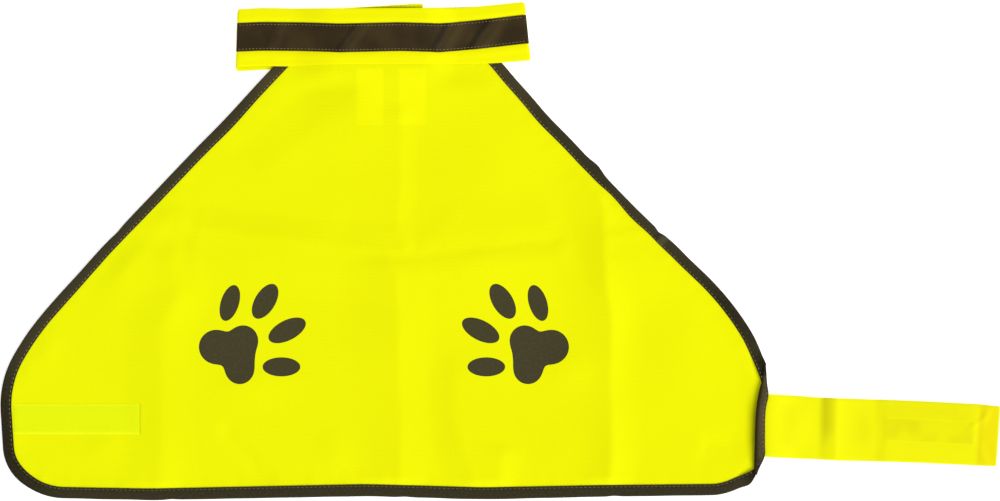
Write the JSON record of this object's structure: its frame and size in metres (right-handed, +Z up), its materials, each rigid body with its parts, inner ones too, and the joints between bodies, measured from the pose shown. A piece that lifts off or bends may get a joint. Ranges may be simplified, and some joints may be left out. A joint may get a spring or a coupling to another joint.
{
  "type": "dog safety vest",
  "caption": "High-visibility dog vest laid flat: bound back panel, reflective neck loop and a belly strap with touch fastener.",
  "frame": {"origin": "centre of the bounding box, on the table the vest lies on", "axes": "+X across the vest to the belly strap's free end, +Y from the hem to the neck, +Z up off the table"},
  "size_m": [0.8317, 0.4152, 0.0094],
  "materials": {
    "hi_vis_cloth": "matt knitted polyester, fluorescent yellow",
    "hi_vis_band": "matt woven polyester band, fluorescent yellow",
    "binding_tape": "dark olive bias tape",
    "reflective_tape": "dark reflective tape, low sheen",
    "fastener_loop": "brushed loop side of touch fastener",
    "fastener_hook": "hook side of touch fastener",
    "label_cloth": "plain satin label, blank"
  },
  "bodies": {
    "root": {"back_panel": "hi_vis_cloth", "binding_left_bottom": "binding_tape", "binding_right": "binding_tape", "binding_turned": "binding_tape", "collar_band": "hi_vis_band", "collar_tape": "reflective_tape", "collar_hook": "fastener_hook", "collar_loop": "fastener_loop", "belly_loop": "fastener_loop", "belly_strap": "hi_vis_band", "strap_hook": "fastener_hook", "care_label": "label_cloth"}
  },
  "joints": []
}
